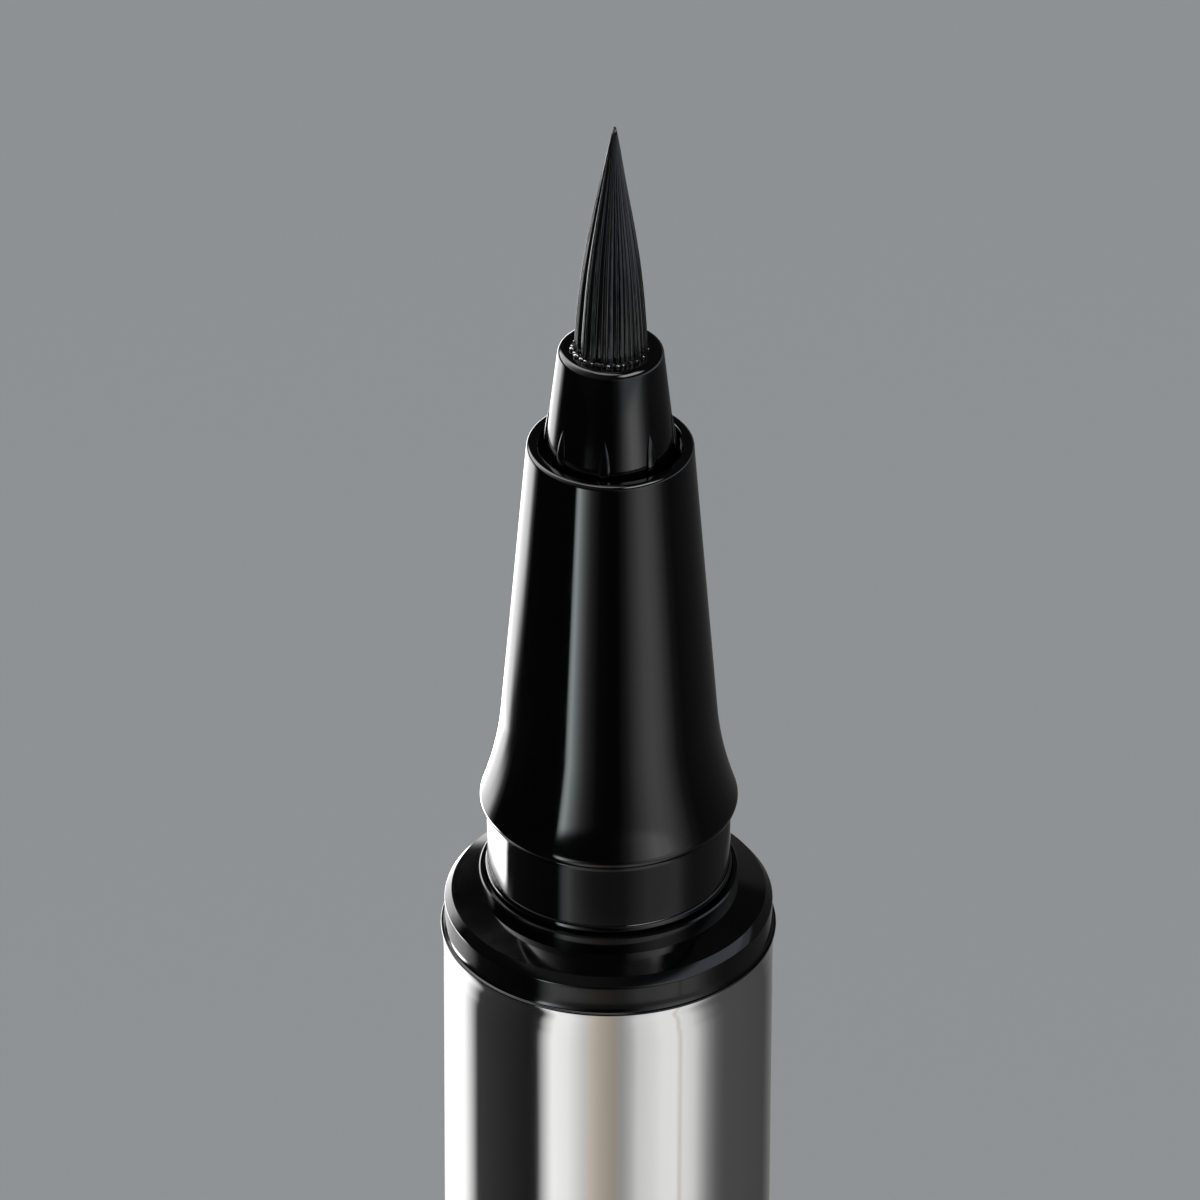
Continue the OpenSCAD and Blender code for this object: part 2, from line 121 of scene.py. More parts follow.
def smooth_curve(points, steps=6):
    """Catmull-Rom curve through points, for stretches that have no corners."""
    ends = [points[0]] + list(points) + [points[-1]]
    curve = []
    for a, b, c, d in zip(ends, ends[1:], ends[2:], ends[3:]):
        for i in range(steps):
            t = i / steps
            curve.append(tuple(
                0.5 * (2 * b[k] + (c[k] - a[k]) * t
                       + (2 * a[k] - 5 * b[k] + 4 * c[k] - d[k]) * t * t
                       + (3 * b[k] - a[k] - 3 * c[k] + d[k]) * t ** 3)
                for k in range(2)))
    return curve + [points[-1]]


def new_object(name, bm):
    """Object of a finished bmesh, in the row frame."""
    mesh = bpy.data.meshes.new(name)
    bm.to_mesh(mesh)
    bm.free()
    obj = bpy.data.objects.new(name, mesh)
    bpy.context.scene.collection.objects.link(obj)
    return obj


def outline_turns(outline):
    """Degrees by which a closed outline turns at each of its points."""
    turns = []
    count = len(outline)
    for i in range(count):
        a, b, c = (Vector(outline[(i + k) % count]) for k in (-1, 0, 1))
        turns.append(math.degrees(abs((b - a).angle_signed(c - b, 0))))
    return turns


def loft(bm, rings):
    """Closed skin over rings of (x, y, z) points in millimetres: its rings and its faces."""
    loops = [[bm.verts.new((x * MM, y * MM, z * MM)) for x, y, z in ring] for ring in rings]
    count = len(loops[0])
    faces = [bm.faces.new((lower[k], lower[(k + 1) % count], upper[(k + 1) % count], upper[k]))
             for lower, upper in zip(loops, loops[1:]) for k in range(count)]
    faces += [bm.faces.new(loops[0][::-1]), bm.faces.new(loops[-1])]
    for face in faces[:-2]:
        face.smooth = True
    return loops, faces


def lathe(name, outline, material):
    """Closed outline of (radius, height) points turned about the pen's axis."""
    bm = bmesh.new()
    rings = []
    for r, z in outline:
        if r < AXIS_EPS:
            rings.append([bm.verts.new((0, 0, z * MM))])
            continue
        rings.append([
            bm.verts.new((r * MM * math.cos(a), r * MM * math.sin(a), z * MM))
            for a in (math.tau * k / SEGMENTS for k in range(SEGMENTS))])
    turns = outline_turns(outline)
    for i, lower in enumerate(rings):
        upper = rings[(i + 1) % len(rings)]
        if len(lower) == 1 and len(upper) == 1:
            continue
        for k in range(SEGMENTS):
            n = (k + 1) % SEGMENTS
            corners = [lower[k % len(lower)], lower[n % len(lower)],
                       upper[n % len(upper)], upper[k % len(upper)]]
            face = bm.faces.new(list(dict.fromkeys(corners)))
            face.smooth = True
    bm.edges.ensure_lookup_table()
    sharp = {v for ring, turn in zip(rings, turns) if turn > SHARP_TURN for v in ring}
    for edge in bm.edges:
        a, b = edge.verts
        level = abs(a.co.z - b.co.z) < AXIS_EPS and abs(a.co.xy.length - b.co.xy.length) < AXIS_EPS
        if a in sharp and b in sharp and level:
            edge.smooth = False
    bmesh.ops.recalc_face_normals(bm, faces=bm.faces[:])
    obj = new_object(name, bm)
    obj.data.materials.append(material)
    return obj


def join(name, pieces):
    """One object from several meshes that stand for one moulding."""
    bpy.ops.object.select_all(action="DESELECT")
    for piece in pieces:
        piece.select_set(True)
    bpy.context.view_layer.objects.active = pieces[0]
    bpy.ops.object.join()
    pieces[0].name = name
    return pieces[0]


# ------------------------------------------------------------------- materials

def nodes_of(name):
    """New material with its node tree and its shader."""
    material = bpy.data.materials.new(name)
    material.use_nodes = True
    tree = material.node_tree
    return material, tree, tree.nodes["Principled BSDF"]


def noise_of(tree, scale, stretch=(1, 1, 1), detail=3):
    """Noise over object coordinates, stretched along an axis, as a 0 to 1 value."""
    place = tree.nodes.new("ShaderNodeTexCoord")
    mapping = tree.nodes.new("ShaderNodeMapping")
    mapping.inputs["Scale"].default_value = stretch
    texture = tree.nodes.new("ShaderNodeTexNoise")
    texture.inputs["Scale"].default_value = scale
    texture.inputs["Detail"].default_value = detail
    tree.links.new(place.outputs["Object"], mapping.inputs["Vector"])
    tree.links.new(mapping.outputs["Vector"], texture.inputs["Vector"])
    return texture.outputs["Fac"]


def ranged(tree, value, low, high, start=0.3, end=0.7):
    """A 0 to 1 value mapped to a range."""
    node = tree.nodes.new("ShaderNodeMapRange")
    ends = {"From Min": start, "From Max": end, "To Min": low, "To Max": high}
    for socket, number in ends.items():
        node.inputs[socket].default_value = number
    tree.links.new(value, node.inputs["Value"])
    return node.outputs["Result"]


def mixed(tree, factor, dark, light):
    """Colour between two, by a 0 to 1 value."""
    node = tree.nodes.new("ShaderNodeMix")
    node.data_type = "RGBA"
    node.inputs["A"].default_value = (*dark, 1)
    node.inputs["B"].default_value = (*light, 1)
    tree.links.new(factor, node.inputs["Factor"])
    return node.outputs["Result"]


def bump(tree, height, strength, distance):
    """Bump from a height, in metres at full strength."""
    node = tree.nodes.new("ShaderNodeBump")
    node.inputs["Strength"].default_value = strength
    node.inputs["Distance"].default_value = distance
    tree.links.new(height, node.inputs["Height"])
    return node.outputs["Normal"]


SKIN_STRENGTH = 0.25    # bump strength of a moulded skin
SKIN_RELIEF = 2e-6      # its relief in metres
FINE_RELIEF = 1e-6      # relief of a polished mould
COAT_ROUGHNESS = 0.04


def plastic(name, dark, light, rough, coat=0.0, grain=900, relief=SKIN_RELIEF, ior=1.5):
    """Moulded plastic: slight clouds in its tone, a fine skin and a soft gloss."""
    material, tree, shader = nodes_of(name)
    clouds = noise_of(tree, grain / 4)
    tree.links.new(mixed(tree, clouds, dark, light), shader.inputs["Base Color"])
    skin = noise_of(tree, grain)
    tree.links.new(ranged(tree, skin, rough[0], rough[1]), shader.inputs["Roughness"])
    tree.links.new(bump(tree, skin, SKIN_STRENGTH, relief), shader.inputs["Normal"])
    shader.inputs["IOR"].default_value = ior
    shader.inputs["Coat Weight"].default_value = coat
    shader.inputs["Coat Roughness"].default_value = COAT_ROUGHNESS
    return material


def metal(name, dark, light, rough):
    """Polished drawn metal: fine lines along the pen and a slight clouding."""
    strength, relief = 0.12, 1.5e-6
    material, tree, shader = nodes_of(name)
    shader.inputs["Metallic"].default_value = 1
    lines = noise_of(tree, 9000, stretch=(1, 1, 0.02), detail=2)
    clouds = noise_of(tree, 260, stretch=(1, 1, 0.3))
    tree.links.new(mixed(tree, clouds, dark, light), shader.inputs["Base Color"])
    tree.links.new(ranged(tree, lines, rough[0], rough[1]), shader.inputs["Roughness"])
    tree.links.new(bump(tree, lines, strength, relief), shader.inputs["Normal"])
    return material


def fibre(name, dark, light, rough):
    """Bonded fibres that run along the pen."""
    strength, relief = 0.6, 3e-5
    material, tree, shader = nodes_of(name)
    threads = noise_of(tree, 5000, stretch=(1, 1, 0.06), detail=4)
    colour = mixed(tree, ranged(tree, threads, 0, 1), dark, light)
    tree.links.new(colour, shader.inputs["Base Color"])
    tree.links.new(ranged(tree, threads, rough[1], rough[0]), shader.inputs["Roughness"])
    tree.links.new(bump(tree, threads, strength, relief), shader.inputs["Normal"])
    return material


def attribute(tree, name):
    """Node that reads a layer of the mesh."""
    node = tree.nodes.new("ShaderNodeAttribute")
    node.attribute_name = name
    return node


def strand_material():
    """Wet fibres, tinted by their own tone, with lines that follow them to the point."""
    # Tints between the lines and on them
    between, on_line = (0.25, 0.25, 0.27), (1.6, 1.6, 1.55)
    strength, relief = 0.2, 3e-6
    material, tree, shader = nodes_of("wet_strands")
    tone = attribute(tree, "tone")
    grain = attribute(tree, "grain")
    streaks = tree.nodes.new("ShaderNodeTexNoise")
    streaks.inputs["Scale"].default_value = 15
    streaks.inputs["Detail"].default_value = 2
    tree.links.new(grain.outputs["Vector"], streaks.inputs["Vector"])
    lines = streaks.outputs["Fac"]
    shade = tree.nodes.new("ShaderNodeMix")
    shade.data_type = "RGBA"
    shade.blend_type = "MULTIPLY"
    shade.inputs["Factor"].default_value = 1
    tree.links.new(tone.outputs["Color"], shade.inputs["A"])
    tree.links.new(mixed(tree, ranged(tree, lines, 0, 1), between, on_line), shade.inputs["B"])
    tree.links.new(shade.outputs["Result"], shader.inputs["Base Color"])
    tree.links.new(ranged(tree, lines, 0.17, 0.1), shader.inputs["Roughness"])
    tree.links.new(ranged(tree, lines, 0.3, 0.75), shader.inputs["Specular IOR Level"])
    tree.links.new(bump(tree, lines, strength, relief), shader.inputs["Normal"])
    return material


# Each with its darker and lighter colour and its least and greatest roughness
GLOSS_TONES = (0.0006, 0.0007, 0.0009), (0.0011, 0.0012, 0.0015)
BLACK_GLOSS = plastic("black_gloss", *GLOSS_TONES, (0.05, 0.09), relief=FINE_RELIEF)
COLLAR_GLOSS = plastic("collar_gloss", *GLOSS_TONES, (0.07, 0.12), relief=FINE_RELIEF)
HOLDER_GLOSS = plastic("holder_gloss", (0.0005, 0.0005, 0.0006), (0.001, 0.001, 0.0011),
                       (0.07, 0.12), relief=FINE_RELIEF)
BLACK_PLASTIC = plastic("black_plastic", (0.012, 0.012, 0.013), (0.02, 0.02, 0.022), (0.35, 0.45))
NATURAL_PLASTIC = plastic("natural_plastic", (0.66, 0.67, 0.65), (0.76, 0.77, 0.75), (0.25, 0.35))
SILVER = metal("silver_metal", (0.80, 0.80, 0.795), (0.88, 0.88, 0.875), (0.06, 0.11))
SPRING_STEEL = metal("spring_steel", (0.5, 0.51, 0.52), (0.62, 0.63, 0.64), (0.2, 0.3))
WICK = fibre("wick_fibre", (0.02, 0.02, 0.024), (0.08, 0.08, 0.09), (0.5, 0.8))
INKED = fibre("inked_fibre", (0.008, 0.008, 0.01), (0.04, 0.04, 0.045), (0.35, 0.7))
FILM = plastic("clear_film", (0.62, 0.64, 0.65), (0.72, 0.74, 0.75), (0.08, 0.16), coat=0.3)
INK = plastic("wet_ink", (0.001, 0.001, 0.0012), (0.002, 0.002, 0.0022), (0.05, 0.09),
              coat=1.0, relief=FINE_RELIEF, ior=3)
DAMP_INK = plastic("damp_ink", (0.001, 0.001, 0.0012), (0.003, 0.003, 0.0032), (0.28, 0.42),
                   grain=6000, relief=8e-6)
STRANDS = strand_material()


# --------------------------------------------------------------- turned pieces

def make_barrel():
    """Drawn tube whose lip swells outwards under the collar."""
    foot_edge = 0.08
    lip = 0.015
    rise = LIP_R - BARREL_R - 0.03
    # Rises over the barrel, at lengths below its mouth
    swell = smooth_curve([(BARREL_R + proud, Z_COLLAR - below) for proud, below in (
        (0, 2), (0, 1.1), (0.01, 0.75), (0.03, 0.4), (rise - 0.008, 0.12), (rise, lip))])
    outline = (arc((BARREL_R - foot_edge, Z_BARREL + foot_edge), foot_edge, -90, 0)
               + swell[:-1] + arc((BARREL_R + rise - lip, Z_COLLAR - lip), lip, 0, 90, 4)
               + [(BORE_R, Z_COLLAR), (BORE_R, Z_BARREL)])
    return lathe("barrel_tube", outline, SILVER)


def make_collar():
    """Rim round the neck, nearly flat flange with a chamfer over its side wall, and the skirt."""
    side_r = BARREL_R - 0.03
    edge_r = BARREL_R - 0.25
    corner = 0.08
    z_corner = Z_COLLAR + 0.955
    z_edge = Z_COLLAR + 1.27
    z_foot = Z_COLLAR + 1.52
    z_top = Z_RIM - 0.1
    z_under = Z_COLLAR - 0.01           # flange's underside, which ends under_in inside the wall
    under_in = 0.1
    rim_out, rim_down = 0.04, 0.05      # bevel outside the rim
    rim_in = 0.03                       # bevel inside it
    skirt_lead = 0.1
    # Slim foot that covers the barrel's lip, and the side wall over it
    side = [(LIP_R - 0.012, Z_COLLAR), (LIP_R - 0.03, Z_COLLAR + 0.04),
            (side_r + 0.005, Z_COLLAR + 0.14), (side_r, z_corner - 0.05)]
    slant = math.degrees(math.atan2(side_r - edge_r, z_edge - z_corner))
    outline = ([(COLLAR_BORE_R, Z_SKIRT), (INSET_R, Z_SKIRT), (INSET_R, z_under),
                (side_r - under_in, z_under)]
               + smooth_curve(side)
               + arc((side_r - corner, z_corner), corner, 0, slant, 5)
               + [(edge_r, z_edge), (RIM_R, z_foot), (RIM_R, z_top - rim_down),
                  (RIM_R - rim_out, z_top), (COLLAR_BORE_R + rim_in, z_top),
                  (COLLAR_BORE_R, z_top - rim_in), (COLLAR_BORE_R, Z_SKIRT + skirt_lead)])
    return lathe("collar_ring", outline, COLLAR_GLOSS)


def taper_r(z):
    """Radius of the nose cone's straight taper, carried on below its foot."""
    return CONE_RIM_R + (CONE_FOOT_R - CONE_RIM_R) * (Z_MOUTH - z) / (Z_MOUTH - Z_FLARE)


def flare_r(z, low_r, z_low):
    """Radius of the bell between the cone's foot and the top of the bell's edge."""
    drop = (Z_FLARE - z) / (Z_FLARE - z_low)
    return taper_r(z) + (low_r - taper_r(z_low)) * drop ** 2


def make_nose():
    """Cone with a rolled rim, flaring into the bell, over a plain neck with a bead."""
    rim = 0.15
    mouth_edge = 0.12
    steps = 30
    low_turn, high_turn = -82, 18       # degrees between which the bell's edge is round
    edge = arc((BELL_R - BELL_EDGE_R, Z_BELL + BELL_EDGE_R), BELL_EDGE_R, low_turn, high_turn, 12)
    low_r, z_low = edge[-1]
    flare = [(flare_r(z, low_r, z_low), z) for z in
             (z_low + (Z_FLARE - z_low) * i / steps for i in range(1, steps + 1))]
    # The bead's broad arc below meets a tight one above
    broad, tight = 0.4, 0.15
    bend = 14
    turn = math.radians(bend)
    bead_x = NECK_R + 0.06 - broad
    bead_low = arc((bead_x, Z_RIM), broad, 0, bend, 4)
    bead_high = arc((bead_x + (broad - tight) * math.cos(turn),
                     Z_RIM + (broad - tight) * math.sin(turn)), tight, 20, 50, 5)
    neck = [(NECK_R, Z_RIM + 0.21), (NECK_R, Z_RIM + 0.35),
            (NECK_R, Z_BELL - 0.12), (NECK_R + 0.02, Z_BELL - 0.02)]
    outline = ([(TAIL_BORE_R, Z_NOSE_TAIL), (NOSE_TAIL_R, Z_NOSE_TAIL), (NOSE_TAIL_R, Z_RIM - 0.05)]
               + bead_low + bead_high + smooth_curve(neck, 4)
               + edge + flare
               + [(CONE_RIM_R, Z_MOUTH - rim)]
               + arc((CONE_RIM_R - rim, Z_MOUTH - rim), rim, 5, 90)
               + arc((MOUTH_R + mouth_edge, Z_MOUTH - mouth_edge), mouth_edge, 90, 180)
               + [(MOUTH_R, Z_STOP), (TAIL_BORE_R, Z_STOP)])
    return lathe("nose_moulding", outline, BLACK_GLOSS)


def make_rib(turn, slope, material):
    """One drop-shaped rib, pointed at its top, that lies on the holder's slope."""
    half_width = 0.2
    proud = 0.075
    sides = 28
    steps = 14
    shown = 1.2             # length above the cone's mouth
    straight = SEAT_DEPTH + 0.1
    length = SEAT_DEPTH + shown
    least = 0.02            # blunt end, as a share of the width
    levels = [(0, 1)] + [(straight + (length - straight) * i / steps,
                          max(least, 1 - (i / steps) ** 1.6) ** 0.85) for i in range(steps + 1)]
    rings = [[(proud * w * math.cos(a), half_width * w * math.sin(a), h)
              for a in (math.tau * k / sides for k in range(sides))] for h, w in levels]
    bm = bmesh.new()
    loft(bm, rings)
    bm.transform(Matrix.Rotation(turn, 4, "Z")
                 @ Matrix.Translation((HOLDER_BACK_R * MM, 0, Z_SEAT * MM))
                 @ Matrix.Rotation(-slope, 4, "Y"))
    rib = new_object("rib", bm)
    rib.data.materials.append(material)
    return rib


def make_holder():
    """Ferrule with a broad rounded front edge, the tuft's bore, and ribs round its foot."""
    edge = 0.25
    bore_edge = 0.04
    stop_h = 1.2
    tail_r = 2.0
    rib_count = 8
    rib_shift = 0.12        # share of a pitch by which the ribs are turned
    slope = math.atan2(HOLDER_BACK_R - HOLDER_FRONT_R, Z_HOLDER - Z_SEAT)
    outline = ([(FEED_BORE_R, Z_HOLDER_TAIL), (tail_r, Z_HOLDER_TAIL), (tail_r, Z_STOP - stop_h),
                (STOP_R, Z_STOP - stop_h), (STOP_R, Z_STOP), (SEAT_R, Z_STOP), (SEAT_R, Z_SEAT),
                (HOLDER_BACK_R, Z_SEAT)]
               + arc((HOLDER_FRONT_R - edge, Z_HOLDER - edge), edge, math.degrees(slope), 90, 16)
               + arc((TUFT_BORE_R + bore_edge, Z_HOLDER - bore_edge), bore_edge, 90, 180, 5)
               + [(TUFT_BORE_R, Z_TUFT_FOOT), (FEED_BORE_R, Z_TUFT_FOOT)])
    body = lathe("ferrule", outline, HOLDER_GLOSS)
    ribs = [make_rib(math.tau * (i - rib_shift) / rib_count, slope, HOLDER_GLOSS)
            for i in range(rib_count)]
    return join("ferrule", [body] + ribs)


def make_tail():
    """Plug with its flange under the barrel and the spigot for the posted cap."""
    cap_gap = 0.05
    tube_wall = 0.7
    wall = 1.1
    chamfer = 0.5
    edge = 0.12
    z_flange = Z_CAP + cap_gap
    z_shoulder = Z_BARREL + Z_BARREL - z_flange     # as high in the barrel as the flange is thick
    spigot_r = NOSE_TAIL_R + PRESS_GAP / 2
    plug_r = INSET_R - tube_wall - PRESS_GAP
    outline = ([(0, Z_PLUG_END), (spigot_r - chamfer, Z_PLUG_END),
                (spigot_r, Z_PLUG_END + chamfer), (spigot_r, z_flange)]
               + arc((BARREL_R - edge, z_flange + edge), edge, -90, 0)
               + arc((BARREL_R - edge, Z_BARREL - edge), edge, 0, 90)
               + [(INSET_R, Z_BARREL), (INSET_R, z_shoulder), (plug_r, z_shoulder),
                  (plug_r, Z_PLUG_TOP), (plug_r - wall, Z_PLUG_TOP),
                  (plug_r - wall, Z_PLUG_END + wall), (0, Z_PLUG_END + wall)])
    return lathe("tail_moulding", outline, BLACK_GLOSS)


def make_cap():
    """Drawn cap with a rounded closed end and a rolled mouth."""
    edge = 0.6
    inner_edge = 0.4
    lip = WALL / 2
    end = 0.5
    outline = ([(0, 0)]
               + arc((CAP_R - edge, edge), edge, -90, 0, 14)
               + arc((CAP_R - lip, Z_CAP - lip), lip, 0, 180)
               + arc((BORE_R - inner_edge, end + inner_edge), inner_edge, 0, -90)
               + [(0, end)])
    return lathe("cap_tube", outline, SILVER)


# ----------------------------------------------------------------------- brush

# Width of the tuft above the holder, as shares of its root, at shares of its free length
TUFT_SHARES = [(-0.3, 1.0), (0, 1.0), (0.06, 0.993), (0.19, 0.927), (0.315, 0.849), (0.44, 0.739),
               (0.568, 0.59), (0.695, 0.429), (0.82, 0.276), (0.948, 0.125), (1.0, 0.035)]
TUFT_BLEND = 0.06       # share of the free length over which the stretches are blended
TUFT_FOOT = -0.28       # share of the free length at which the locks begin, inside the holder
TUFT_LEAN = 0.09        # millimetres by which the point leans to the right
FREE_LEN = Z_TIP - Z_HOLDER
LOCK_LEVELS = 44
LOCK_LAP = 1.07         # width of a lock's face against the space between its grooves
LOCK_BACK = 0.9         # the same for its hidden back
LOCK_DEPTH = 0.35       # radius of its back, as a share of the tuft's
LOCK_SWAY = 0.006       # radians by which a lock wanders
FIBRE_DEGREES = 5.5     # width of one bonded fibre at the root
FIBRE_POINTS = 9        # corners across one fibre
PLAIN_TO = -50          # degrees; locks that begin left of this have one smooth face
# Painted shade: locks left of the front are drawn nearly black, darker than the locks on the right.
PAINTED_SHADE_TO = -12           # locks whose middle is left of this are nearly black
GRAIN_PACE = 0.007      # grain along the locks for each unit across them
LOOSE_COUNT = 60
LOOSE_LEVELS = 18
LOOSE_SIDES = 6
LOOSE_FADE = 0.2        # share of the free length over which a loose fibre thins out
LOOSE_LEAST = 0.15      # share of its thickness at its end
LOOSE_START = -0.02     # share of the free length at which a loose fibre begins
FULL_TURN = 270         # degrees at which the last lock meets the first
LAST_ROOM = 15          # a groove drawn less than this before FULL_TURN is moved onto it
BACK_PITCH = (9, 17)    # least and greatest width of the locks behind, in degrees

# Grooves between the locks on the tuft's front, in degrees from the front, + to the right
LOCK_EDGES = [-90, -58, -45, -33, -25, -14, -5, 4, 16, 24, 33, 43, 53, 66, 78]


def tuft_share(t):
    """Width share of the tuft at a share of its free length, with its stretches blended."""
    def plain(t):
        for (t0, w0), (t1, w1) in zip(TUFT_SHARES, TUFT_SHARES[1:]):
            if t <= t1:
                return w0 + (w1 - w0) * (t - t0) / (t1 - t0)
        return TUFT_SHARES[-1][1]
    reach = 3
    window = min(TUFT_BLEND, max(0.0, 1 - t))
    return sum(plain(t + window * k / reach) for k in range(-reach, reach + 1)) / (2 * reach + 1)


def lock_tone(middle):
    """Colour of one lock: painted shade, nearly black, on the left; a lighter blue-grey or brown
    elsewhere.
    """
    # Painted shade: locks left of the front take darker values than the rest.
    tones = (0.001, 0.003) if middle < PAINTED_SHADE_TO else (0.003, 0.012)
    value = random.uniform(*tones)
    warmth = random.choice((0, 0, 0, 0.25))
    return (value * (0.8 + 0.8 * warmth), value, value * (1.3 - 2 * warmth), 1)


def tuft_point(radius, turn, t):
    """Point of the tuft at a radius and turn, at a share of its free length."""
    lean = TUFT_LEAN * max(0, t) ** 2
    return (radius * math.cos(turn) + lean, radius * math.sin(turn), Z_HOLDER + FREE_LEN * t)


def paint(bm, loops, faces, grains, tone):
    """Writes a lock's tone, and the grain that its lines follow."""
    tone_layer = bm.loops.layers.float_color["tone"]
    grain_layer = bm.verts.layers.float_vector["grain"]
    for ring, marks in zip(loops, grains):
        for vert, mark in zip(ring, marks):
            vert[grain_layer] = mark
    for face in faces:
        for loop in face.loops:
            loop[tone_layer] = tone


def add_lock(bm, low, high, serial):
    """One lock of bonded fibres between two grooves, crowned, with a scallop for each fibre."""
    half = math.radians(high - low) / 2
    middle = math.radians((low + high) / 2 - 90)
    fibres = 1 if low < PLAIN_TO else max(2, round((high - low) / FIBRE_DEGREES))
    count = max(2, fibres) * FIBRE_POINTS
    crown = random.uniform(0.45, 0.8) * half
    scallop = random.uniform(0.12, 0.22) * half / fibres
    inset = random.uniform(0, 0.035) if fibres > 1 else 0
    phase = random.uniform(0, math.tau)
    rings, grains = [], []
    for level in range(LOCK_LEVELS):
        t = TUFT_FOOT + (1 - TUFT_FOOT) * level / (LOCK_LEVELS - 1)
        radius = TUFT_R * tuft_share(t)
        sway = LOCK_SWAY * math.sin(phase + 6 * t)
        along = GRAIN_PACE * t * FREE_LEN
        ring, marks = [], []
        for k in range(count + 1):
            u = 2 * k / count - 1
            across = 2 * (k % FIBRE_POINTS) / FIBRE_POINTS - 1
            relief = crown * (math.sqrt(max(0, 1 - u * u)) - 1)
            if fibres > 1:
                relief += scallop * (math.sqrt(1 - across * across) - 1)
            turn = middle + sway + LOCK_LAP * half * u
            ring.append(tuft_point(radius * (1 - inset + relief), turn, t))
            marks.append((turn * TUFT_R, along, serial))
        for u in (1, -1):
            turn = middle + sway + LOCK_BACK * half * u
            ring.append(tuft_point(radius * LOCK_DEPTH, turn, t))
            marks.append((turn * TUFT_R, along, serial))
        rings.append(ring)
        grains.append(marks)
    loops, faces = loft(bm, rings)
    paint(bm, loops, faces, grains, lock_tone((low + high) / 2))


def add_loose(bm, serial):
    """One fine fibre that lies on the locks and ends short of the point."""
    turn = random.uniform(0, math.tau)
    end = random.uniform(0.45, 0.97)
    thick = random.uniform(0.009, 0.015)
    drift = random.uniform(-0.06, 0.06)
    value = random.uniform(0.01, 0.05)
    sunk = thick * 0.2
    rings, grains = [], []
    for level in range(LOOSE_LEVELS):
        t = LOOSE_START + (end - LOOSE_START) * level / (LOOSE_LEVELS - 1)
        size = thick * max(LOOSE_LEAST, min(1, (end - t) / LOOSE_FADE))
        x, y, z = tuft_point(TUFT_R * tuft_share(t) - sunk, turn + drift * max(0, t), t)
        rings.append([(x + size * math.cos(b), y + size * math.sin(b), z)
                      for b in (math.tau * k / LOOSE_SIDES for k in range(LOOSE_SIDES))])
        grains.append([(turn, t, serial)] * LOOSE_SIDES)
    loops, faces = loft(bm, rings)
    paint(bm, loops, faces, grains, (value * 0.95, value, value * 1.05, 1))


def make_tuft():
    """Wet locks drawn to one point, with loose fibres on them."""
    bm = bmesh.new()
    bm.loops.layers.float_color.new("tone")
    bm.verts.layers.float_vector.new("grain")
    edges = list(LOCK_EDGES)
    while edges[-1] < FULL_TURN - LAST_ROOM:
        edges.append(edges[-1] + random.uniform(*BACK_PITCH))
    edges[-1] = FULL_TURN
    for serial, (low, high) in enumerate(zip(edges, edges[1:])):
        add_lock(bm, low, high, serial)
    for serial in range(LOOSE_COUNT):
        add_loose(bm, serial)
    tuft = new_object("brush_strands", bm)
    tuft.data.materials.append(STRANDS)
    return tuft


def make_root():
    """Fused root of the tuft inside the holder, down to the feed rod."""
    slice_r, slice_h = 1.35, 0.6
    z_top = Z_HOLDER - 0.1
    outline = [(0, Z_ROOT), (slice_r, Z_ROOT), (slice_r, Z_ROOT + slice_h),
               (TUFT_R - 0.02, Z_ROOT + slice_h), (TUFT_R - 0.04, z_top), (0, z_top)]
    return lathe("brush_root", outline, WICK)


def make_ink_film():
    """Low rim of wet ink round the foot of the tuft."""
    outer_r = TUFT_BORE_R + 0.05
    inner_r = TUFT_R - 0.14
    height = 0.06
    z_foot = Z_HOLDER - 0.03
    dip = 0.75              # share of its height that the film loses in a trough
    climb = [(TUFT_BORE_R + 0.02, Z_HOLDER + 0.005), (TUFT_BORE_R - 0.01, Z_HOLDER + 0.012),
             (TUFT_R - 0.02, Z_HOLDER + 0.03), (TUFT_R - 0.05, Z_HOLDER + height)]
    outline = ([(outer_r, z_foot), (outer_r, Z_HOLDER + 0.003)] + smooth_curve(climb)
               + [(inner_r, Z_HOLDER + height), (inner_r, z_foot)])
    film = lathe("ink_film", outline, DAMP_INK)
    for v in film.data.vertices:
        turn = math.atan2(v.co.y, v.co.x)
        rise = max(0.0, v.co.z / MM - Z_HOLDER)
        wave = 0.5 + 0.5 * math.sin(13 * turn + 2 * math.sin(3 * turn)) * math.cos(29 * turn)
        v.co.z -= rise * dip * (1 - wave) * MM
    return film


# Beads of ink round the tuft's foot: degrees from the front, and radius in millimetres
BEADS = [(-90, 0.06), (-81, 0.085), (-70, 0.06), (-61, 0.09), (-50, 0.066), (-42, 0.05),
         (-30, 0.03), (-3, 0.05), (11, 0.06), (19, 0.045), (34, 0.024), (44, 0.03), (59, 0.046),
         (84, 0.03), (110, 0.04), (141, 0.03), (173, 0.045), (-160, 0.036), (-131, 0.04),
         (-105, 0.04)]
BEAD_SQUASH = (1.15, 1.15, 0.85, 1)


def make_beads():
    """Small beads of ink that sit in the film."""
    bm = bmesh.new()
    for degrees, size in BEADS:
        a = math.radians(degrees - 90)
        reach = TUFT_R + size * 0.9
        place = Matrix.Translation((reach * math.cos(a) * MM, reach * math.sin(a) * MM,
                                    (Z_HOLDER + size * 0.55) * MM))
        bmesh.ops.create_icosphere(bm, subdivisions=3, radius=size * MM,
                                   matrix=place @ Matrix.Diagonal(BEAD_SQUASH))
    for face in bm.faces:
        face.smooth = True
    beads = new_object("ink_beads", bm)
    beads.data.materials.append(INK)
    return beads


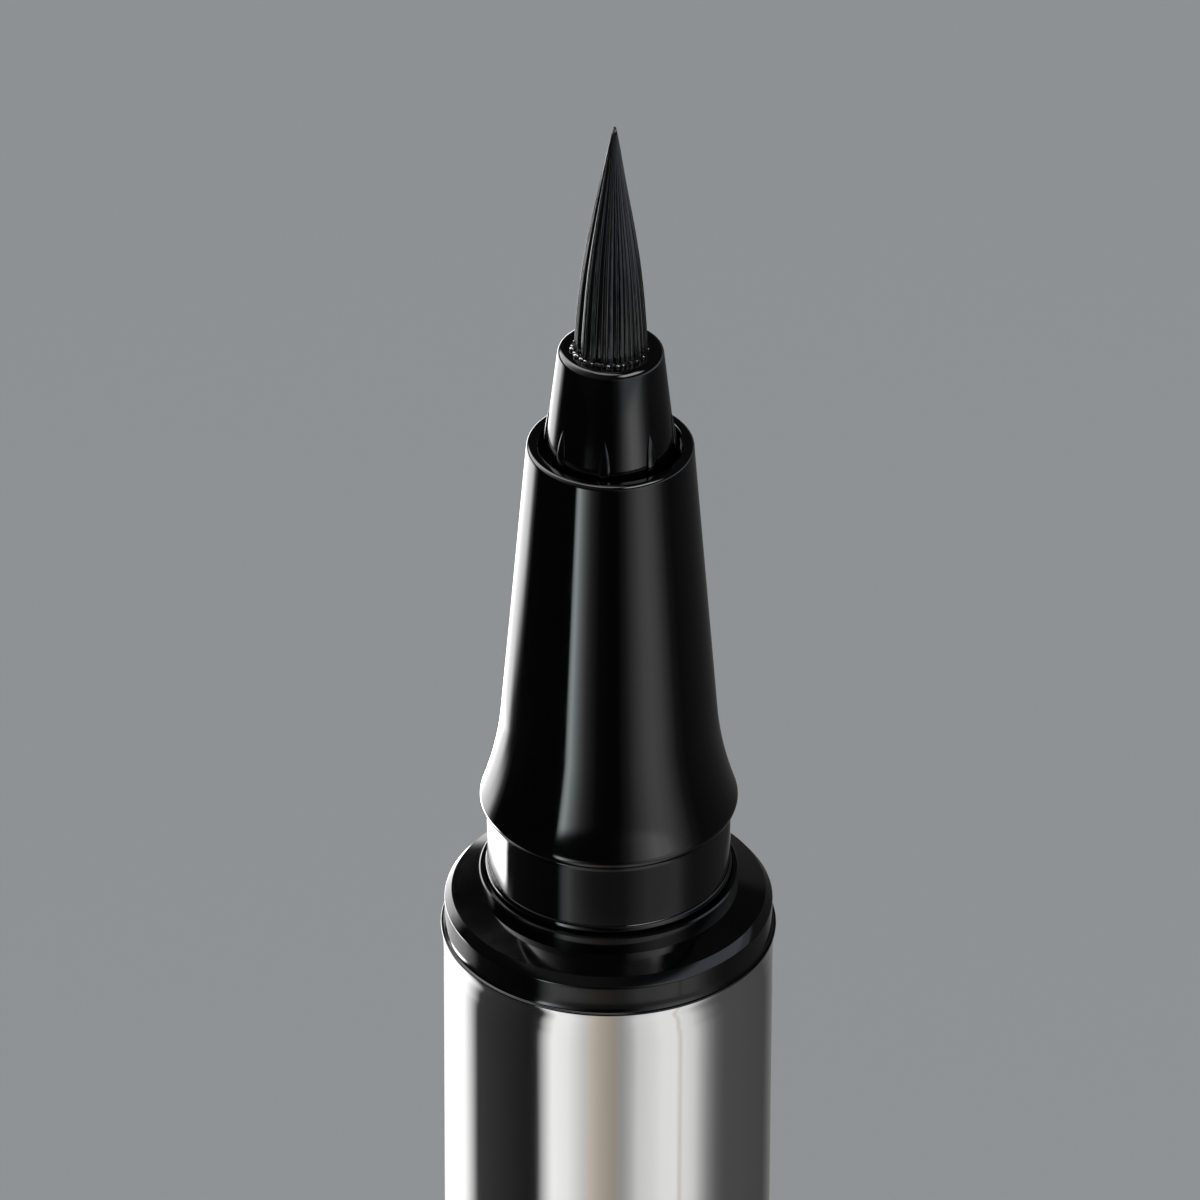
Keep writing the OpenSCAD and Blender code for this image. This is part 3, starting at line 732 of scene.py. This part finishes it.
def make_spring():
    """Coil spring behind the sealing cup, as one tube along a helix."""
    coil_r = 2.5
    turns = 4
    steps = 40
    sides = 10
    wire = SPRING_R - coil_r
    rise = (Z_SPRING_TOP - Z_SPRING - 2 * wire) / (turns * steps)
    section = [(coil_r + wire * math.cos(b), wire * math.sin(b))
               for b in (math.tau * k / sides for k in range(sides))]
    rings = []
    for i in range(turns * steps + 1):
        a = math.tau * i / steps
        z = Z_SPRING + wire + rise * i
        rings.append([(r * math.cos(a), r * math.sin(a), z + up) for r, up in section])
    bm = bmesh.new()
    loft(bm, rings)
    bmesh.ops.recalc_face_normals(bm, faces=bm.faces)
    spring = new_object("press_spring", bm)
    spring.data.materials.append(SPRING_STEEL)
    return spring


# -------------------------------------------------------------- put it together

def dress(piece, body, slot, *nodes):
    """Rides a piece on its body, takes a slot that is not used, and hides the nodes it stands for.
    """
    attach(piece, body)
    if nodes:
        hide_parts(*nodes)
    return piece


dress(make_barrel(), "pen", "silver_metal", "barrel_sleeve")
dress(make_collar(), "pen", "black_gloss", "front_collar")
dress(make_nose(), "pen", "black_gloss", "nose_cone")
dress(make_holder(), "pen", "black_gloss", "brush_holder")
dress(make_tail(), "pen", "black_gloss", "tail_plug")
dress(make_cap(), "cap", "silver_metal", "cap_shell")
dress(make_tuft(), "pen", "brush_fibre", "brush_tip")
dress(make_root(), "pen", "brush_fibre")
dress(make_ink_film(), "pen", "brush_fibre")
dress(make_beads(), "pen", "brush_fibre")

spring = dress(make_spring(), "cap", "spring_steel", "inner_cap_spring")
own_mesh(spring)

CARRIED = {"feed_rod": WICK, "ink_tube": NATURAL_PLASTIC, "ink_core": INKED, "core_wrap": FILM,
           "cap_liner": BLACK_PLASTIC, "inner_cap": NATURAL_PLASTIC}
for node, material in CARRIED.items():
    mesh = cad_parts[node].data
    mesh.materials.clear()
    mesh.materials.append(material)


# --------------------------------------------------------------- floor and light

# Sizes and places in metres
FLOOR_SIZE = 8.0
TENT_R = 0.04
TENT_FOOT = 0.0005
TENT_TOP = 0.25
TENT_SIDES = 96
LID_RADIANCE = 4.0
LAMP_AIM = 0.08         # height on the pen at which the lamps aim
WARM = (1.14, 1.0, 0.86)
COOL = (0.9, 1.0, 1.0)
BLUE = (0.86, 0.97, 1.1)

# Light round the pen, from bands of the tent, each named after the piece that mirrors it in the
# camera's view: degrees from the camera, + to its right, radiance, and a tint where it has one
BARREL_LIGHT = [(-180, 0.9), (-150, 1.15), (-115, 1.2), (-107, 0.66), (-99, 0.04), (-54, 0.012),
                (-48, 0.02), (-43, 0.52), (-37, 0.99), (-27, 0.9), (-21, 0.73), (-16, 0.59),
                (-11, 0.48, WARM), (-6, 0.39, WARM), (0, 0.32, WARM), (4.5, 0.285, WARM),
                (9.5, 0.31), (15, 0.44), (20, 0.64), (30, 0.73), (36, 0.82), (46.6, 0.84),
                (48.8, 0.5, WARM), (50.8, 0.8), (59, 0.68), (65, 0.42), (71, 0.22), (78, 0.11),
                (85, 0.074), (136, 0.06), (165, 0.2), (180, 0.9)]
NECK_LIGHT = [(-180, 0.3), (-175, 6), (-145, 9), (-114, 18), (-107, 0.04), (-47, 0.02),
              (-42, 0.75, COOL), (-37, 1.0, COOL), (-31, 0.5), (-23, 0.25), (-15, 0.14), (0, 0.1),
              (15, 0.12), (29, 0.31), (37, 0.43), (64, 0.43), (75, 0.15), (85, 0.08),
              (150, 0.06), (172, 0.1), (180, 0.3)]
CONE_BACK = [(-180, 2.6), (-132, 3.0), (-127, 1.6), (-123, 0.3), (-117, 0.012)]
CONE_FRONT = [(-45, 0.012), (-42, 4.4, COOL), (-39, 5.6, COOL), (-36, 3.5, COOL),
              (-32, 2.0, COOL), (-28, 1.0), (-24, 0.45), (-19, 0.2), (-12, 0.04), (0, 0.015),
              (9, 0.02), (18, 0.18), (27, 0.6), (37, 1.05), (45, 1.15), (54, 0.9), (63, 0.45),
              (72, 0.12), (82, 0.05), (150, 0.08), (172, 0.1), (180, 2.6)]
CONE_LIGHT = CONE_BACK + CONE_FRONT
EDGE_LIGHT = [(-180, 4), (-150, 3.2), (-124, 3.4), (-119, 1.6), (-115, 0.3),
              (-109, 0.012)] + CONE_FRONT
FERRULE_LIGHT = [(-180, 7), (-160, 4.5), (-123, 4), (-116, 1.4), (-109, 0.015), (0, 0.015),
                 (8, 0.04), (16, 0.2), (25, 0.8), (38, 1.8), (48, 1.6), (58, 0.75), (67, 0.2),
                 (78, 0.06), (172, 0.1), (180, 7)]
CHAMFER_LIGHT = [(-180, 0.1), (-175, 0.3), (-170, 4), (-116, 4), (-108, 0.04), (-60, 0.05),
                 (-20, 0.02), (0, 0.012), (14, 0.1, BLUE), (28, 0.7, BLUE), (60, 0.9, BLUE),
                 (105, 0.5, BLUE), (135, 0.2), (180, 0.1)]
BRUSH_LIGHT = [(-180, 3), (-170, 3), (-164, 0.04), (0, 0.03), (14, 0.35, BLUE), (30, 1.1, BLUE),
               (100, 0.9, BLUE), (130, 0.3), (150, 0.12), (172, 0.12), (180, 3)]
RIM_LEFT = [(-180, 0.03), (-145, 0.03), (-136, 5.5), (-112, 5.5), (-97, 2.2), (-78, 0.7),
            (-50, 0.2), (18, 0.04)]
RIM_LIGHT = RIM_LEFT + [(180, 0.03)]
UPPER_LIGHT = RIM_LEFT + [(28, 6), (68, 6), (80, 0.06), (180, 0.03)]
HIGH_LIGHT = [(-180, 0.03), (-145, 0.03), (-136, 4.5), (-106, 4.5), (-90, 1.6), (-70, 0.4),
              (-40, 0.06), (180, 0.03)]

# Bands from the floor up: where each takes over from the last, in millimetres above the collar's
# foot
BANDS = [(BARREL_LIGHT, None), (NECK_LIGHT, (-23.3, -22.5)), (CONE_LIGHT, (-17.3, -13.9)),
         (EDGE_LIGHT, (-13, -6)), (FERRULE_LIGHT, (1.6, 3.6)), (CHAMFER_LIGHT, (7.5, 8.2)),
         (BRUSH_LIGHT, (10.3, 11.3)), (RIM_LIGHT, (20.2, 24)), (UPPER_LIGHT, (41, 44)),
         (HIGH_LIGHT, (75, 80))]


def ramp(tree, value, stops, top):
    """Ramp over degrees, with radiance as a share of its top."""
    node = tree.nodes.new("ShaderNodeValToRGB")
    elements = node.color_ramp.elements
    while len(elements) < len(stops):
        elements.new(0.5)
    for element, (degrees, radiance, *tint) in zip(elements, stops):
        element.position = (degrees + 180) / 360
        element.color = (*(radiance / top * c for c in (tint[0] if tint else (1, 1, 1))), 1)
    tree.links.new(value, node.inputs["Fac"])
    return node.outputs["Color"]


def math_node(tree, operation, a, b):
    """Result of an operation on two sockets or numbers."""
    node = tree.nodes.new("ShaderNodeMath")
    node.operation = operation
    for socket, value in zip(node.inputs, (a, b)):
        if hasattr(value, "is_linked"):
            tree.links.new(value, socket)
        else:
            socket.default_value = value
    return node.outputs[0]


def step_of(tree, value, start, end):
    """Soft step from 0 at start to 1 at end."""
    node = tree.nodes.new("ShaderNodeMapRange")
    node.interpolation_type = "SMOOTHSTEP"
    node.inputs["From Min"].default_value = start
    node.inputs["From Max"].default_value = end
    tree.links.new(value, node.inputs["Value"])
    return node.outputs["Result"]


def light_material(name):
    """New material that only glows: its tree, its glow and the position it is asked for."""
    material = bpy.data.materials.new(name)
    material.use_nodes = True
    tree = material.node_tree
    tree.nodes.clear()
    place = tree.nodes.new("ShaderNodeNewGeometry")
    axes = tree.nodes.new("ShaderNodeSeparateXYZ")
    tree.links.new(place.outputs["Position"], axes.inputs["Vector"])
    glow = tree.nodes.new("ShaderNodeEmission")
    out = tree.nodes.new("ShaderNodeOutputMaterial")
    tree.links.new(glow.outputs["Emission"], out.inputs["Surface"])
    return material, tree, glow, axes


def only_reflected(obj, material):
    """Leaves a glowing card to reflections alone."""
    obj.data.materials.append(material)
    obj.visible_camera = False
    obj.visible_diffuse = False
    obj.visible_shadow = False
    obj.visible_transmission = False
    return obj


def make_tent():
    """Ring of soft panels and black cards round the pen, which only reflections see."""
    bm = bmesh.new()
    low, high = ([bm.verts.new((TENT_R * math.cos(a), TENT_R * math.sin(a), z))
                  for a in (math.tau * k / TENT_SIDES for k in range(TENT_SIDES))]
                 for z in (TENT_FOOT, TENT_TOP))
    for k in range(TENT_SIDES):
        n = (k + 1) % TENT_SIDES
        bm.faces.new((low[k], low[n], high[n], high[k]))
    material, tree, glow, axes = light_material("tent_light")
    towards = math_node(tree, "MULTIPLY", axes.outputs["Y"], -1.0)
    turn = math_node(tree, "ARCTAN2", axes.outputs["X"], towards)
    round_share = math_node(tree, "ADD", math_node(tree, "DIVIDE", turn, math.tau), 0.5)
    top = max(stop[1] for stops, _ in BANDS for stop in stops)
    colour = ramp(tree, round_share, BANDS[0][0], top)
    for stops, (start, end) in BANDS[1:]:
        mix = tree.nodes.new("ShaderNodeMix")
        mix.data_type = "RGBA"
        above = step_of(tree, axes.outputs["Z"], (Z_COLLAR + start) * MM, (Z_COLLAR + end) * MM)
        tree.links.new(above, mix.inputs["Factor"])
        tree.links.new(colour, mix.inputs["A"])
        tree.links.new(ramp(tree, round_share, stops, top), mix.inputs["B"])
        colour = mix.outputs["Result"]
    tree.links.new(colour, glow.inputs["Color"])
    glow.inputs["Strength"].default_value = top
    return only_reflected(new_object("light_tent", bm), material)


def make_lid():
    """Card over the tent: a soft panel on the left, black on the right."""
    black, white = (0.01, 0.01, 0.01), (1, 1, 1)
    soft_from, soft_to = -0.002, 0.008
    bm = bmesh.new()
    bmesh.ops.create_circle(bm, cap_ends=True, segments=TENT_SIDES, radius=TENT_R,
                            matrix=Matrix.Translation((0, 0, TENT_TOP)))
    material, tree, glow, axes = light_material("lid_light")
    left = math_node(tree, "MULTIPLY", axes.outputs["X"], -1.0)
    across = math_node(tree, "SUBTRACT", left, axes.outputs["Y"])
    side = step_of(tree, across, soft_from, soft_to)
    tree.links.new(mixed(tree, side, black, white), glow.inputs["Color"])
    glow.inputs["Strength"].default_value = LID_RADIANCE
    return only_reflected(new_object("light_lid", bm), material)


def make_floor():
    """Plain pale floor."""
    bm = bmesh.new()
    bmesh.ops.create_grid(bm, x_segments=8, y_segments=8, size=FLOOR_SIZE / 2)
    floor = new_object("floor", bm)
    material, tree, shader = nodes_of("floor_paper")
    paper = mixed(tree, noise_of(tree, 3), (0.40, 0.42, 0.435), (0.43, 0.45, 0.465))
    tree.links.new(paper, shader.inputs["Base Color"])
    shader.inputs["Roughness"].default_value = 0.9
    shader.inputs["Specular IOR Level"].default_value = 0.1
    floor.data.materials.append(material)
    return floor


def area_lamp(name, azimuth, elevation, distance, size, radiance):
    """Square soft box that faces the pen; radiance 1 shows as white."""
    lamp = bpy.data.lights.new(name, "AREA")
    lamp.shape = "SQUARE"
    lamp.size = size
    lamp.energy = radiance * math.pi * size ** 2
    obj = bpy.data.objects.new(name, lamp)
    bpy.context.scene.collection.objects.link(obj)
    az, el = math.radians(azimuth), math.radians(elevation)
    aim = Vector((0, 0, LAMP_AIM))
    away = Vector((math.sin(az) * math.cos(el), -math.cos(az) * math.cos(el), math.sin(el)))
    obj.location = aim + away * distance
    obj.rotation_euler = away.to_track_quat("Z", "Y").to_euler()
    obj.visible_camera = False
    obj.visible_glossy = False
    return obj


make_floor()
make_tent()
make_lid()
area_lamp("key", azimuth=-60, elevation=50, distance=1.4, size=0.9, radiance=3.6)
area_lamp("fill", azimuth=70, elevation=40, distance=1.5, size=1.0, radiance=1.9)
area_lamp("back", azimuth=175, elevation=45, distance=1.5, size=0.9, radiance=1.6)

world = bpy.data.worlds.new("studio")
bpy.context.scene.world = world
world.use_nodes = True
background = world.node_tree.nodes["Background"]
background.inputs["Color"].default_value = (0.12, 0.125, 0.13, 1)
background.inputs["Strength"].default_value = 1


# ----------------------------------------------------------------------- camera

PHOTO_SIZE = 1200       # pixels, as are the next two
FOCAL_PX = 12500
AXIS_PX = 9.8           # the pen's axis stands this far right of the middle
CAM_ELEVATION = 33.0    # degrees
CAM_ROLL = 0.21         # degrees; the pen's top leans right
CAM_DISTANCE = 391.6 * MM
AIM_UP = 12.166         # millimetres above the collar's foot
SENSOR = 36

cam_data = bpy.data.cameras.new("camera")
cam_data.sensor_width = SENSOR
cam_data.lens = FOCAL_PX / PHOTO_SIZE * SENSOR
cam_data.clip_start = 0.01
cam = bpy.data.objects.new("camera", cam_data)
bpy.context.scene.collection.objects.link(cam)
tilt = math.radians(CAM_ELEVATION)
aim = Vector((-AXIS_PX / FOCAL_PX * CAM_DISTANCE, 0, (Z_COLLAR + AIM_UP) * MM))
cam.location = aim + CAM_DISTANCE * Vector((0, -math.cos(tilt), math.sin(tilt)))
look = Euler((math.pi / 2 - tilt, 0, 0)).to_matrix().to_4x4()
cam.rotation_euler = (look @ Matrix.Rotation(math.radians(CAM_ROLL), 4, "Z")).to_euler()
bpy.context.scene.camera = cam
bpy.context.scene.view_settings.view_transform = "Standard"
